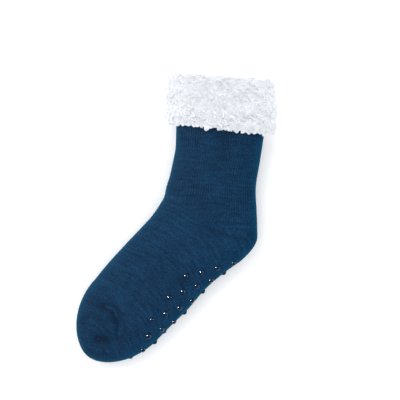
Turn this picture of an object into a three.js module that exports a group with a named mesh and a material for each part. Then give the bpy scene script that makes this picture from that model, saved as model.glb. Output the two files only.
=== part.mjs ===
// A slipper sock: a knitted body, a fleece cuff turned over its rim, and silicone grip dots on its sole.
// It lies on its side, empty and slack, with its sole fold and one side of the foot and leg on the floor.
// Lengths are in millimetres and +Z is up. +Y runs up the leg to the collar, and the foot points to -X and
// -Y. The shapes are worked out from the heel corner, and the finished sock is then centred over the
// origin.

import * as THREE from 'three';

// Knitted body, laid flat
const FOOT_LENGTH = 230; // heel corner to toe tip
const FOOT_DEPTH = 104; // sole fold to instep fold
const LEG_LENGTH = 180; // heel corner to the knitted rim
const LEG_WIDTH = 101; // back fold to front fold
const HEEL_ANGLE = 141.5; // between the axes of foot and leg, in degrees
const ANKLE_FILLET = 7; // how far the rounded front of the ankle stands out from the bend
const FOOT_THICKNESS = 41; // floor to the top of the foot
const LEG_THICKNESS = 40; // underside to the top of the leg
const KNIT_WALL = 2.5;

// Cuff, measured from the knitted rim
const CUFF_TURN_DOWN = 52; // rim to the lower edge outside
const CUFF_TURN_IN = 42; // rim to the lower edge inside
const CUFF_FOLD_RISE = 8; // how far the pile stands above the rim
const PILE_OUTSIDE = 11.5;
const PILE_INSIDE = 5.5;
const PILE_PRESSED = 7; // what is left of the outside pile between the leg and the floor
const TUFT_SIZE = 13; // from one tuft of the pile to the next
const TUFT_RELIEF = 1.6; // how far a tuft stands out of the pile
const HEM_SCALLOP = 2; // how far the tufts of the lower edge hang down

// Grip dots on the sole
const DOTS_PER_ROW = [3, 4, 5, 6, 5, 4, 3]; // from the visible side round to the floor side
const GRIP_HEEL_MARGIN = 34.5; // heel corner to the first dot of the longest row
const GRIP_TOE_MARGIN = 34.5; // toe tip to the last dot of that row
const GRIP_ROW_PITCH = 9; // from row to row, around the sole
const GRIP_OFF_FOLD = 10; // the longest row lies this far to the visible side of the sole fold
const GRIP_ROLL = 15; // the rows roll this far under the fold on the way to the toe
const GRIP_ROLL_START = 0.37; // where the roll starts, as a share of the longest row
const GRIP_ROLL_EASE = 1.3; // 1 is a straight roll, and a higher number starts it more softly
const DOT_RADIUS = 3.3;
const DOT_HEIGHT = 2;

const SEAT_GAP = 0.3; // between a piece and what it lies on

// Shape of the cross-sections
const SECTION_FULLNESS = 2.4; // 2 is an ellipse, and a higher number is boxier
const TOE_OUTLINE_FULLNESS = 1.85;
const TOE_DOME_FULLNESS = 2.4;
const WIDEST_HEIGHT = 0.45; // height of the two folds, as a share of the thickness
const FLOOR_FLAT = 2.5; // how much of the round underside the floor presses flat

// How finely the surfaces are divided
const COLUMNS = 32; // around the knitted body
const TOE_RINGS = 8;
const RINGS_PER_SECTION = 3;
const DOT_SIDES = 12;

// Sections of the foot, from the toe line back to the heel. The sole fold's place along the foot is a share
// of FOOT_LENGTH from the heel corner. The instep fold's place is a share of the way from the bend of the
// ankle to the toe tip. Both are a share of FOOT_DEPTH across the foot, and the thickness is a share of
// FOOT_THICKNESS.
const FOOT_SECTIONS = [
  { soleAlong: 0.71, soleAcross: 0.014, instepAlong: 0.65, instepAcross: 0.977, thick: 0.93 },
  { soleAlong: 0.6, soleAcross: 0.017, instepAlong: 0.525, instepAcross: 1.001, thick: 0.97 },
  { soleAlong: 0.475, soleAcross: 0.014, instepAlong: 0.376, instepAcross: 1.014, thick: 1 },
  { soleAlong: 0.345, soleAcross: 0.035, instepAlong: 0.252, instepAcross: 1.02, thick: 1 },
  { soleAlong: 0.22, soleAcross: 0.016, instepAlong: 0.138, instepAcross: 1.03, thick: 1.02 },
  { soleAlong: 0.1, soleAcross: -0.025, instepAlong: 0.056, instepAcross: 1.06, thick: 1.03 },
];
const HEEL_THICK = 1.02; // thickness from the heel corner to the ankle, as a share of FOOT_THICKNESS

// Sections of the leg, from the heel up. The back fold's height is a share of LEG_LENGTH from the heel
// corner. The front fold's height is a share of the way from the bend of the ankle to the rim. Both are a
// share of LEG_WIDTH in front of the heel corner, and the thickness is a share of LEG_THICKNESS. The last
// section lies past the rim, for the fold of the cuff.
const LEG_SECTIONS = [
  { backUp: 0.1, backAcross: 0.005, frontUp: 0.1, frontAcross: 1.09, thick: 1.03 },
  { backUp: 0.22, backAcross: 0.038, frontUp: 0.192, frontAcross: 1.065, thick: 1.02 },
  { backUp: 0.355, backAcross: 0.073, frontUp: 0.297, frontAcross: 1.05, thick: 1 },
  { backUp: 0.525, backAcross: 0.06, frontUp: 0.424, frontAcross: 1.037, thick: 0.98 },
  { backUp: 0.69, backAcross: 0.05, frontUp: 0.609, frontAcross: 1.057, thick: 0.98 },
  { backUp: 0.82, backAcross: 0.055, frontUp: 0.768, frontAcross: 1.078, thick: 1 },
  { backUp: 0.93, backAcross: 0.092, frontUp: 0.891, frontAcross: 1.1, thick: 1 },
  { backUp: 1, backAcross: 0.12, frontUp: 0.975, frontAcross: 1.105, thick: 1 },
  { backUp: 1.07, backAcross: 0.14, frontUp: 1.055, frontAcross: 1.11, thick: 1 },
];
const TOE_TIP_ACROSS = 0.455; // the toe tip, as a share of FOOT_DEPTH above the sole line

// Places on the line of sections: the toe tip is at TIP, the toe line at 0, and each section adds 1
const TIP = -1;
const HEEL = FOOT_SECTIONS.length;
const RIM = HEEL + LEG_SECTIONS.length - 1;
const COVERED = RIM - 3; // the cuff covers the wall from about here, so its rings can be fewer

const { clamp, degToRad, lerp, smoothstep } = THREE.MathUtils;
const footTurn = degToRad(180 - HEEL_ANGLE);

// A point of the foot, given along its axis from the heel and across it from the sole
function footPoint(along, across) {
  const x = -along * Math.sin(footTurn) - across * Math.cos(footTurn);
  const y = -along * Math.cos(footTurn) + across * Math.sin(footTurn);
  return new THREE.Vector2(x, y);
}

// The bend of the ankle, where the straight front of the leg would meet the straight instep in a sharp
// corner
const STRAIGHT_FOOT = FOOT_SECTIONS[3];
const STRAIGHT_LEG = LEG_SECTIONS[3];
const legFront = LEG_WIDTH * STRAIGHT_LEG.frontAcross;
const instepLine = FOOT_DEPTH * STRAIGHT_FOOT.instepAcross;
const bendAlong = (legFront - instepLine * Math.cos(footTurn)) / Math.sin(footTurn);
const bend = footPoint(bendAlong, instepLine);

// The two folds and the thickness of each section, in millimetres
function footFolds({ soleAlong, soleAcross, instepAlong, instepAcross, thick }) {
  return {
    sole: footPoint(soleAlong * FOOT_LENGTH, soleAcross * FOOT_DEPTH),
    instep: footPoint(lerp(bendAlong, FOOT_LENGTH, instepAlong), instepAcross * FOOT_DEPTH),
    thick: thick * FOOT_THICKNESS,
  };
}

function legFolds({ backUp, backAcross, frontUp, frontAcross, thick }) {
  return {
    sole: new THREE.Vector2(-backAcross * LEG_WIDTH, backUp * LEG_LENGTH),
    instep: new THREE.Vector2(-frontAcross * LEG_WIDTH, lerp(bend.y, LEG_LENGTH, frontUp)),
    thick: thick * LEG_THICKNESS,
  };
}

const heelFolds = {
  sole: new THREE.Vector2(0, 0),
  instep: bend.clone().setLength(bend.length() + ANKLE_FILLET),
  thick: HEEL_THICK * FOOT_THICKNESS,
};
const sections = [...FOOT_SECTIONS.map(footFolds), heelFolds, ...LEG_SECTIONS.map(legFolds)];
const soleFold = new THREE.SplineCurve(sections.map((section) => section.sole));
const instepFold = new THREE.SplineCurve(sections.map((section) => section.instep));
const thickness = new THREE.SplineCurve(sections.map((section, i) => new THREE.Vector2(i, section.thick)));

// The folds and the thickness at any place. Past the toe line the outline closes to the tip in a rounded
// arch, and `shrink` says how much of the thickness is left.
const tip = footPoint(FOOT_LENGTH, TOE_TIP_ACROSS * FOOT_DEPTH);
const tipFoot = footPoint(FOOT_SECTIONS[0].soleAlong * FOOT_LENGTH, TOE_TIP_ACROSS * FOOT_DEPTH);

function foldsAt(place) {
  const share = Math.max(place, 0) / (sections.length - 1);
  const sole = soleFold.getPoint(share);
  const instep = instepFold.getPoint(share);
  const thick = thickness.getPoint(share).y;
  if (place >= 0) return { sole, instep, thick, shrink: 1 };
  const angle = (place - TIP) * (Math.PI / 2);
  const narrow = Math.pow(Math.sin(angle), 2 / TOE_OUTLINE_FULLNESS);
  const reach = Math.pow(Math.cos(angle), 2 / TOE_OUTLINE_FULLNESS);
  const middle = tipFoot.clone().lerp(tip, reach);
  sole.sub(tipFoot).multiplyScalar(narrow).add(middle);
  instep.sub(tipFoot).multiplyScalar(narrow).add(middle);
  return { sole, instep, thick, shrink: Math.pow(Math.sin(angle), 2 / TOE_DOME_FULLNESS) };
}

// How far the leg is lifted off the floor by the pile of the cuff that it lies on
const CUFF_LIFT = { from: HEEL + 3, to: HEEL + 5.5 }; // places between which the leg rises

function cuffLift(place) {
  return (PILE_PRESSED + SEAT_GAP) * smoothstep(place, CUFF_LIFT.from, CUFF_LIFT.to);
}

// How far the sole's underside is held off the floor by the dots below it. `across` is -1 at the sole fold
// and 1 at the instep fold, and `height` is -1 at the underside.
const TOE_LIFT = { from: TIP, to: TIP + 0.7 }; // places between which the lift sets in
const HEEL_LIFT = { from: HEEL - 1, to: HEEL + 0.5 }; // places between which it ends
const SOLE_LIFT = { from: 0.05, to: -0.35 }; // where across the section it sets in
const UNDERSIDE = -0.95; // the height from which the underside has the whole lift

function gripLift(place, across, height) {
  const fromToe = smoothstep(place, TOE_LIFT.from, TOE_LIFT.to);
  const toHeel = 1 - smoothstep(place, HEEL_LIFT.from, HEEL_LIFT.to);
  const solePart = 1 - smoothstep(across, SOLE_LIFT.to, SOLE_LIFT.from);
  const underside = 1 - smoothstep(height, UNDERSIDE, 0);
  return (DOT_HEIGHT + SEAT_GAP) * fromToe * toHeel * solePart * underside;
}

// A point of the knitted body's outer surface. `angle` goes around the section: 0 at the sole fold, a
// quarter turn at the top, half a turn at the instep fold, and on along the floor.
function bodyPoint(place, angle) {
  const { sole, instep, thick, shrink } = foldsAt(place);
  const cos = Math.cos(angle);
  const sin = Math.sin(angle);
  const radius = Math.pow(
    Math.pow(Math.abs(cos), SECTION_FULLNESS) + Math.pow(Math.abs(sin), SECTION_FULLNESS),
    -1 / SECTION_FULLNESS,
  );
  const across = -cos * radius;
  const height = sin * radius;
  const middle = thick * WIDEST_HEIGHT;
  const point = sole.lerp(instep, (1 + across) / 2);
  let z = middle + (thick - middle) * height * shrink;
  if (height < 0) {
    const round = middle + (middle + FLOOR_FLAT) * height * shrink;
    z = Math.max(0, round) + gripLift(place, across, height);
  }
  return new THREE.Vector3(point.x, point.y, z + cuffLift(place));
}

// The direction out of the knitted body at a place and angle
const STEP = 1e-3;

function bodyNormal(place, angle) {
  const along = bodyPoint(place + STEP, angle).sub(bodyPoint(place - STEP, angle));
  const around = bodyPoint(place, angle + STEP).sub(bodyPoint(place, angle - STEP));
  return along.cross(around).normalize();
}

// A point that lies `out` millimetres outside the knitted body, or inside it where `out` is negative
function offsetPoint(place, angle, out) {
  return bodyPoint(place, angle).addScaledVector(bodyNormal(place, angle), out);
}

// The place where a rising measure of the sock reaches a target, by halving
function placeWhere(measure, target, from, to) {
  for (let i = 0; i < 40; i++) {
    const half = (from + to) / 2;
    if (measure(half) < target) from = half;
    else to = half;
  }
  return (from + to) / 2;
}

// A closed mesh from its points and from quads or triangles that list their corners counter-clockwise
function meshOf(name, material, points, faces) {
  const geometry = new THREE.BufferGeometry().setFromPoints(points);
  const corners = [];
  for (const [a, b, c, d] of faces) {
    corners.push(a, b, c);
    if (d !== undefined) corners.push(a, c, d);
  }
  geometry.setIndex(corners);
  geometry.computeVertexNormals();
  const mesh = new THREE.Mesh(geometry, material);
  mesh.name = name;
  return mesh;
}

// The quads between ring `lower` and ring `upper`, where each ring has `sides` points
function bandFaces(lower, upper, sides, turned = false) {
  const faces = [];
  for (let i = 0; i < sides; i++) {
    const next = (i + 1) % sides;
    const quad = [lower * sides + i, upper * sides + i, upper * sides + next, lower * sides + next];
    faces.push(turned ? quad.reverse() : quad);
  }
  return faces;
}

// The triangles that close a ring to one point
function fanFaces(pole, ring, sides, turned = false) {
  const faces = [];
  for (let i = 0; i < sides; i++) {
    const rim = [ring * sides + i, ring * sides + ((i + 1) % sides)];
    faces.push(turned ? [pole, rim[1], rim[0]] : [pole, ...rim]);
  }
  return faces;
}

// The knitted body: an outer and an inner skin, joined at the rim, each closed at the toe by a fan
const columnAngle = (column, columns) => (column / columns) * 2 * Math.PI;

function ringPlaces() {
  const places = [];
  for (let i = 1; i <= TOE_RINGS; i++) places.push(TIP - (TIP * i) / TOE_RINGS);
  for (let i = 1; i <= COVERED * RINGS_PER_SECTION; i++) places.push(i / RINGS_PER_SECTION);
  for (let place = COVERED + 1; place <= RIM; place++) places.push(place);
  return places;
}
const wallRings = ringPlaces();

function makeKnitUpper(material) {
  const outer = wallRings.map((place) => ({ place, out: 0 }));
  const inner = wallRings.map((place) => ({ place, out: -KNIT_WALL })).reverse();
  const rings = [...outer, ...inner];
  const points = [];
  for (const { place, out } of rings) {
    for (let column = 0; column < COLUMNS; column++) {
      points.push(offsetPoint(place, columnAngle(column, COLUMNS), out));
    }
  }
  const faces = [];
  for (let ring = 0; ring < rings.length - 1; ring++) faces.push(...bandFaces(ring, ring + 1, COLUMNS));

  const toeward = footPoint(1, 0);
  const tipHeight = bodyPoint(TIP, 0).z;
  const innerTip = tip.clone().addScaledVector(toeward, -KNIT_WALL);
  points.push(new THREE.Vector3(tip.x, tip.y, tipHeight));
  points.push(new THREE.Vector3(innerTip.x, innerTip.y, tipHeight));
  faces.push(...fanFaces(points.length - 2, 0, COLUMNS));
  faces.push(...fanFaces(points.length - 1, rings.length - 1, COLUMNS, true));
  return meshOf('knit_upper', material, points, faces);
}

// The cuff is a ring with one section all the way round. The section goes up the outside of the pile from
// the lower edge, over the fold, down to the inner edge, and back along the knitted wall, which it hugs.
const CUFF_COLUMNS = COLUMNS * 2;
const OUTSIDE_ROWS = [0, 0.05, 0.13, 0.24, 0.37, 0.51, 0.65, 0.8, 0.95]; // shares of the way up to the rim
const FOLD_ROWS = 5;
const INSIDE_ROWS = [0.15, 0.55, 0.93]; // shares of the way down from the rim
const INSIDE_TUFT = 0.3; // the inside pile is flatter, and its tufts stand out by this share
const HEM_ROUNDING = 0.16; // share of the turned-down length over which the lower edge rounds off
const HEM_INSET = 0.08; // share of that length by which the pile's root lies above its lower edge
const HEM_EDGE = 0.03; // share of that length at which the rounding starts, so that the edge isn't sharp

function legHeight(place) {
  const { sole, instep } = foldsAt(place);
  return (sole.y + instep.y) / 2;
}
const rimHeight = legHeight(RIM);

function placeAtHeight(up) {
  return placeWhere(legHeight, rimHeight + up, HEEL, sections.length - 1);
}

const pileOuter = SEAT_GAP + PILE_OUTSIDE;
const pileInner = -(KNIT_WALL + SEAT_GAP + PILE_INSIDE);

// The rows of the cuff's section. Each lies a height above the rim, or at a place of the wall that it hugs,
// and a distance out of the knitted body.
function cuffRows() {
  const rows = [];
  for (const share of OUTSIDE_ROWS) {
    const round = Math.min((share + HEM_EDGE) / HEM_ROUNDING, 1);
    const swell = Math.sqrt(1 - (1 - round) ** 2);
    rows.push({ up: -CUFF_TURN_DOWN * (1 - share), out: SEAT_GAP + PILE_OUTSIDE * swell, tuft: swell ** 2 });
  }
  for (let i = 1; i <= FOLD_ROWS; i++) {
    const turn = (i / (FOLD_ROWS + 1)) * Math.PI;
    const out = lerp(pileInner, pileOuter, (1 + Math.cos(turn)) / 2);
    rows.push({ up: CUFF_FOLD_RISE * Math.sin(turn), out, tuft: 1 });
  }
  for (const share of INSIDE_ROWS) {
    rows.push({ up: -CUFF_TURN_IN * share, out: pileInner, tuft: INSIDE_TUFT });
  }
  const wallInside = -(KNIT_WALL + SEAT_GAP);
  rows.push({ up: -CUFF_TURN_IN, out: (pileInner + wallInside) / 2, tuft: 0 });
  const inside = huggedPlaces(CUFF_TURN_IN * (1 - HEM_INSET)).map((place) => ({ place, out: wallInside }));
  const outside = huggedPlaces(CUFF_TURN_DOWN * (1 - HEM_INSET)).map((place) => ({ place, out: SEAT_GAP }));
  return [...rows, ...inside, ...outside.reverse()];
}

// The places where the cuff lies on the wall: from a depth below the rim, by way of each of the wall's
// rings, to just above the rim
function huggedPlaces(depth) {
  const lowest = placeAtHeight(-depth);
  return [lowest, ...wallRings.filter((ring) => ring > lowest && ring < RIM), placeAtHeight(SEAT_GAP)];
}

// Relief of the tufts at a point, from -1 to 1. The sway keeps them out of straight lines.
const tuftWave = (2 * Math.PI) / TUFT_SIZE;
const SWAY_LENGTH = 2.7; // in tufts

function tuftRelief({ x, y, z }) {
  const sway = Math.sin((tuftWave * y) / SWAY_LENGTH);
  return Math.sin(tuftWave * (x + z) + 2 * sway) * Math.sin(tuftWave * (y - z / 2) + sway);
}

// A point on the free side of the pile, with the tufts' relief and the ragged lower edge
function pilePoint(row, angle) {
  const plain = offsetPoint(placeAtHeight(row.up), angle, row.out);
  const hang = (HEM_SCALLOP * Math.max(-row.up, 0)) / CUFF_TURN_DOWN;
  const scallop = hang * Math.sin(tuftWave * (plain.x + plain.z));
  const out = row.out + TUFT_RELIEF * row.tuft * tuftRelief(plain);
  const point = offsetPoint(placeAtHeight(row.up - scallop), angle, out);
  point.z = Math.max(0, point.z);
  return point;
}

// A point along the wall's flat facets, which run straight from one of its rings to the next
function facetPoint({ place, out }, angle) {
  const above = wallRings.findIndex((ring) => ring >= place);
  if (above < 1) return offsetPoint(place, angle, out); // past the end of the wall
  const lower = wallRings[above - 1];
  const upper = wallRings[above];
  const share = (place - lower) / (upper - lower);
  return offsetPoint(lower, angle, out).lerp(offsetPoint(upper, angle, out), share);
}

// Every other column of the cuff lies between two columns of the knitted body. There the rows that hug the
// wall take the middle of their neighbours, so that they lie along its facets too.
function cuffRing(row) {
  const hugs = row.place !== undefined;
  const ring = [];
  for (let column = 0; column < CUFF_COLUMNS; column++) {
    const angle = columnAngle(column, CUFF_COLUMNS);
    ring.push(hugs ? facetPoint(row, angle) : pilePoint(row, angle));
  }
  if (!hugs) return ring;
  for (let column = 1; column < CUFF_COLUMNS; column += 2) {
    const next = ring[(column + 1) % CUFF_COLUMNS];
    ring[column].addVectors(ring[column - 1], next).divideScalar(2);
  }
  return ring;
}

function makeCuff(material) {
  const rings = cuffRows().map(cuffRing);
  const faces = rings.flatMap((ring, i) => bandFaces(i, (i + 1) % rings.length, CUFF_COLUMNS));
  return meshOf('sherpa_cuff', material, rings.flat(), faces);
}

// The angle that lies a distance around the section from the sole fold, towards the visible side where the
// distance is positive. It is found by walking there in small steps.
function angleAround(place, distance) {
  const step = Math.sign(distance) * degToRad(0.5);
  let angle = 0;
  let walked = 0;
  let point = bodyPoint(place, angle);
  while (walked < Math.abs(distance)) {
    angle += step;
    const next = bodyPoint(place, angle);
    walked += next.distanceTo(point);
    point = next;
  }
  return angle;
}

// How the body's surface runs at a place and angle: its point there, and the change of that point with each
function surfaceRun(place, angle) {
  const along = bodyPoint(place + STEP, angle).sub(bodyPoint(place - STEP, angle)).divideScalar(2 * STEP);
  const around = bodyPoint(place, angle + STEP).sub(bodyPoint(place, angle - STEP)).divideScalar(2 * STEP);
  return { point: bodyPoint(place, angle), along, around };
}

// The place and angle that lie `forward` and `sideways` millimetres from another, measured in the plane
// that touches the surface there. Each pass steps towards the target and corrects what is left.
const STEP_PASSES = 4;

function surfaceStep(place, angle, forward, sideways) {
  const start = surfaceRun(place, angle);
  const ahead = start.along.clone().normalize();
  const aside = bodyNormal(place, angle).cross(ahead);
  const target = start.point.clone().addScaledVector(ahead, forward).addScaledVector(aside, sideways);
  const at = { place, angle };
  for (let pass = 0; pass < STEP_PASSES; pass++) {
    const { point, along, around } = surfaceRun(at.place, at.angle);
    const move = target.clone().sub(point);
    const skew = along.dot(around);
    const area = along.lengthSq() * around.lengthSq() - skew * skew;
    at.place += (move.dot(along) * around.lengthSq() - move.dot(around) * skew) / area;
    at.angle += (move.dot(around) * along.lengthSq() - move.dot(along) * skew) / area;
  }
  return at;
}

// A grip dot: a low dome that follows the surface below it. Its rings are shares of the radius and height.
const DOT_RINGS = [
  { radius: 1, height: 0 },
  { radius: 0.94, height: 0.5 },
  { radius: 0.62, height: 0.9 },
];

function dotPoint(place, angle, height) {
  const point = offsetPoint(place, angle, SEAT_GAP + height);
  point.z = Math.max(0, point.z);
  return point;
}

function makeDot(name, material, along, around) {
  const soleAlong = (place) => foldsAt(place).sole.dot(footPoint(-1, 0));
  const place = placeWhere(soleAlong, -along, TIP, HEEL);
  const angle = angleAround(place, around);
  const points = [];
  for (const ring of DOT_RINGS) {
    for (let side = 0; side < DOT_SIDES; side++) {
      const turn = columnAngle(side, DOT_SIDES);
      const reach = DOT_RADIUS * ring.radius;
      const at = surfaceStep(place, angle, reach * Math.cos(turn), reach * Math.sin(turn));
      points.push(dotPoint(at.place, at.angle, DOT_HEIGHT * ring.height));
    }
  }
  points.push(dotPoint(place, angle, 0));
  points.push(dotPoint(place, angle, DOT_HEIGHT));
  const top = DOT_RINGS.length - 1;
  const faces = [];
  for (let ring = 0; ring < top; ring++) faces.push(...bandFaces(ring, ring + 1, DOT_SIDES, true));
  faces.push(...fanFaces(points.length - 2, 0, DOT_SIDES, true));
  faces.push(...fanFaces(points.length - 1, top, DOT_SIDES));
  return meshOf(name, material, points, faces);
}

// The dots stand in staggered rows. Each row is centred along the foot on the longest one, and all of them
// roll under the sole fold on the way to the toe.
function makeGrip(material) {
  const longest = Math.max(...DOTS_PER_ROW);
  const pitch = (FOOT_LENGTH - GRIP_HEEL_MARGIN - GRIP_TOE_MARGIN) / (longest - 1);
  const middleRow = (DOTS_PER_ROW.length - 1) / 2;
  const dots = [];
  DOTS_PER_ROW.forEach((count, row) => {
    for (let i = 0; i < count; i++) {
      const steps = i + (longest - count) / 2;
      const along = GRIP_HEEL_MARGIN + pitch * steps;
      const share = clamp((steps / (longest - 1) - GRIP_ROLL_START) / (1 - GRIP_ROLL_START), 0, 1);
      const rolled = GRIP_ROLL * share ** GRIP_ROLL_EASE;
      const around = GRIP_OFF_FOLD + (middleRow - row) * GRIP_ROW_PITCH - rolled;
      const name = `grip_dot_${String(dots.length + 1).padStart(2, '0')}`;
      dots.push(makeDot(name, material, along, around));
    }
  });
  return dots;
}

const knit = new THREE.MeshStandardMaterial({ color: '#1c4060', roughness: 0.95, metalness: 0 });
const fleece = new THREE.MeshStandardMaterial({ color: '#eef0f5', roughness: 1, metalness: 0 });
const silicone = new THREE.MeshStandardMaterial({ color: '#16202c', roughness: 0.3, metalness: 0 });

const sock = new THREE.Group();
sock.add(makeKnitUpper(knit), makeCuff(fleece), ...makeGrip(silicone));

const box = new THREE.Box3().setFromObject(sock);
const centre = box.getCenter(new THREE.Vector3());
sock.position.set(-centre.x, -centre.y, -box.min.z);

export default sock;
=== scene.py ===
# Looks of a slipper sock: a knitted body, a fleece cuff turned over its rim, and silicone grip dots.
# It lies on its side on a pale floor and is seen from straight above. Lengths are in metres and +Z is up.
# The shapes are worked out from the heel corner, as the solids are, and then moved to the part's frame.

import math

import bpy
import numpy as np
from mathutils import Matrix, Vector


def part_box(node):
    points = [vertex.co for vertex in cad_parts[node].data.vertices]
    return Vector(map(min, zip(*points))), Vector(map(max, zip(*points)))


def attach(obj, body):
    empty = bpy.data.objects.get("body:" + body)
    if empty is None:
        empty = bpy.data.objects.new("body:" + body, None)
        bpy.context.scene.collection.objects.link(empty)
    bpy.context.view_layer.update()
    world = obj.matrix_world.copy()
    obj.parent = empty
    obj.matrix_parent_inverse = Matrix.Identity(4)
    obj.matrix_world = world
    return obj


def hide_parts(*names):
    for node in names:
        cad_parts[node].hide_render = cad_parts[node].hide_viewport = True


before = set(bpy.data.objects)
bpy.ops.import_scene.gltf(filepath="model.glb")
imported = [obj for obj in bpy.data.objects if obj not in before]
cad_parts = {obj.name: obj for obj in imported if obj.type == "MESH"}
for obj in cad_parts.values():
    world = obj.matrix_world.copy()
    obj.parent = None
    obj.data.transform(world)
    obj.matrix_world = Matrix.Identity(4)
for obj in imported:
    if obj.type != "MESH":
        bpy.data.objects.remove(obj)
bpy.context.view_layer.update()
rng = np.random.default_rng(7)

# Sizes of the sock, the same as those of its solids
FOOT_LENGTH = 0.230
FOOT_DEPTH = 0.104
LEG_LENGTH = 0.180
LEG_WIDTH = 0.101
HEEL_ANGLE = 141.5  # between the axes of the foot and the leg, in degrees
ANKLE_FILLET = 0.007
FOOT_THICKNESS = 0.041
LEG_THICKNESS = 0.040
KNIT_WALL = 0.0025
CUFF_TURN_DOWN = 0.052  # rim to the lower edge outside
CUFF_TURN_IN = 0.042  # rim to the lower edge inside
CUFF_FOLD_RISE = 0.008  # how far the pile stands above the rim
PILE_OUTSIDE = 0.0115
PILE_INSIDE = 0.0055
PILE_PRESSED = 0.007  # what is left of the outside pile between the leg and the floor
TUFT_SIZE = 0.013  # from one tuft of the pile to the next
DOTS_PER_ROW = [3, 4, 5, 6, 5, 4, 3]  # from the visible side round to the floor side
GRIP_HEEL_MARGIN = 0.0345  # heel corner to the first dot of the longest row
GRIP_TOE_MARGIN = 0.0345  # toe tip to the last dot of that row
GRIP_ROW_PITCH = 0.009  # from row to row, around the sole
GRIP_OFF_FOLD = 0.010  # the longest row lies this far to the visible side of the sole fold
GRIP_ROLL = 0.015  # the rows roll this far under the fold on the way to the toe
GRIP_ROLL_START = 0.37  # where the roll starts, as a share of the longest row
GRIP_ROLL_EASE = 1.3  # 1 is a straight roll, and a higher number starts it more softly
DOT_RADIUS = 0.0033
DOT_HEIGHT = 0.002
SEAT_GAP = 0.0003  # between a piece and what it lies on

# Shape of the cross-sections
SECTION_FULLNESS = 2.4  # 2 is an ellipse, and a higher number is boxier
TOE_OUTLINE_FULLNESS = 1.85
TOE_DOME_FULLNESS = 2.4
WIDEST_HEIGHT = 0.45  # height of the two folds, as a share of the thickness
FLOOR_FLAT = 0.0025  # how much of the round underside the floor presses flat

# Sections of the foot, from the toe line to the heel. The sole fold's place is a share of FOOT_LENGTH from
# the heel, and the instep fold's a share of the way from the bend of the ankle to the toe tip. Both are a
# share of FOOT_DEPTH across the foot, and the thickness is a share of FOOT_THICKNESS.
FOOT_SECTIONS = [
    # sole along, sole across, instep along, instep across, thick
    (0.71, 0.014, 0.65, 0.977, 0.93),
    (0.6, 0.017, 0.525, 1.001, 0.97),
    (0.475, 0.014, 0.376, 1.014, 1),
    (0.345, 0.035, 0.252, 1.02, 1),
    (0.22, 0.016, 0.138, 1.03, 1.02),
    (0.1, -0.025, 0.056, 1.06, 1.03),
]
HEEL_THICK = 1.02

# Sections of the leg, from the heel up. The back fold's height is a share of LEG_LENGTH, and the front
# fold's a share of the way from the bend of the ankle to the rim. Both lie in front of the heel corner by a
# share of LEG_WIDTH, and the thickness is a share of LEG_THICKNESS.
LEG_SECTIONS = [
    # back up, back across, front up, front across, thick
    (0.1, 0.005, 0.1, 1.09, 1.03),
    (0.22, 0.038, 0.192, 1.065, 1.02),
    (0.355, 0.073, 0.297, 1.05, 1),
    (0.525, 0.06, 0.424, 1.037, 0.98),
    (0.69, 0.05, 0.609, 1.057, 0.98),
    (0.82, 0.055, 0.768, 1.078, 1),
    (0.93, 0.092, 0.891, 1.1, 1),
    (1, 0.12, 0.975, 1.105, 1),
    (1.07, 0.14, 1.055, 1.11, 1),
]
TOE_TIP_ACROSS = 0.455

# Places on the line of sections: the toe tip is at TIP, the toe line at 0, and each section adds 1
TIP = -1
HEEL = len(FOOT_SECTIONS)
RIM = HEEL + len(LEG_SECTIONS) - 1
STRAIGHT = 3  # the row of each table that stands for the straight of the foot or leg

# How finely a curve is divided where a length or a place is read off it
BODY_SAMPLES = 400
SECTION_SAMPLES = 97
HALF_SECTION_SAMPLES = 360
SOLE_SAMPLES = 3000
GIRTH_SAMPLES = 2000
CUFF_GIRTH_SAMPLES = 200
PROFILE_SAMPLES = 600
PROFILE_ROWS = 800

FOOT_TURN = math.radians(180 - HEEL_ANGLE)
FOOT_AXIS = np.array([-math.sin(FOOT_TURN), -math.cos(FOOT_TURN)])  # from the heel to the toe
FOOT_ACROSS = np.array([-math.cos(FOOT_TURN), math.sin(FOOT_TURN)])  # from the sole to the instep


def lerp(low, high, share):
    return low + (high - low) * share


def smoothstep(value, low, high):
    """0 up to `low`, 1 from `high` on, and a smooth rise between them."""
    share = np.clip((value - low) / (high - low), 0, 1)
    return share * share * (3 - 2 * share)


def normalized(vectors):
    return vectors / np.linalg.norm(vectors, axis=-1, keepdims=True)


def foot_point(along, across):
    """A point of the foot, given along its axis from the heel and across it from the sole."""
    return along * FOOT_AXIS + across * FOOT_ACROSS


# The bend of the ankle, where the straight front of the leg would meet the straight instep
LEG_FRONT = LEG_WIDTH * LEG_SECTIONS[STRAIGHT][3]
INSTEP_LINE = FOOT_DEPTH * FOOT_SECTIONS[STRAIGHT][3]
BEND_ALONG = (LEG_FRONT - INSTEP_LINE * math.cos(FOOT_TURN)) / math.sin(FOOT_TURN)
BEND = foot_point(BEND_ALONG, INSTEP_LINE)


def section_folds():
    """Each section's sole fold, instep fold and thickness, from the toe line up to past the rim."""
    rows = []
    for sole_along, sole_across, instep_along, instep_across, thick in FOOT_SECTIONS:
        sole = foot_point(sole_along * FOOT_LENGTH, sole_across * FOOT_DEPTH)
        instep = foot_point(lerp(BEND_ALONG, FOOT_LENGTH, instep_along), instep_across * FOOT_DEPTH)
        rows.append([*sole, *instep, thick * FOOT_THICKNESS])
    ankle = BEND * (1 + ANKLE_FILLET / np.linalg.norm(BEND))
    rows.append([0, 0, *ankle, HEEL_THICK * FOOT_THICKNESS])
    for back_up, back_across, front_up, front_across, thick in LEG_SECTIONS:
        front = [-front_across * LEG_WIDTH, lerp(BEND[1], LEG_LENGTH, front_up)]
        rows.append([-back_across * LEG_WIDTH, back_up * LEG_LENGTH, *front, thick * LEG_THICKNESS])
    return np.array(rows)


FOLDS = section_folds()
LAST = len(FOLDS) - 1


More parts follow.
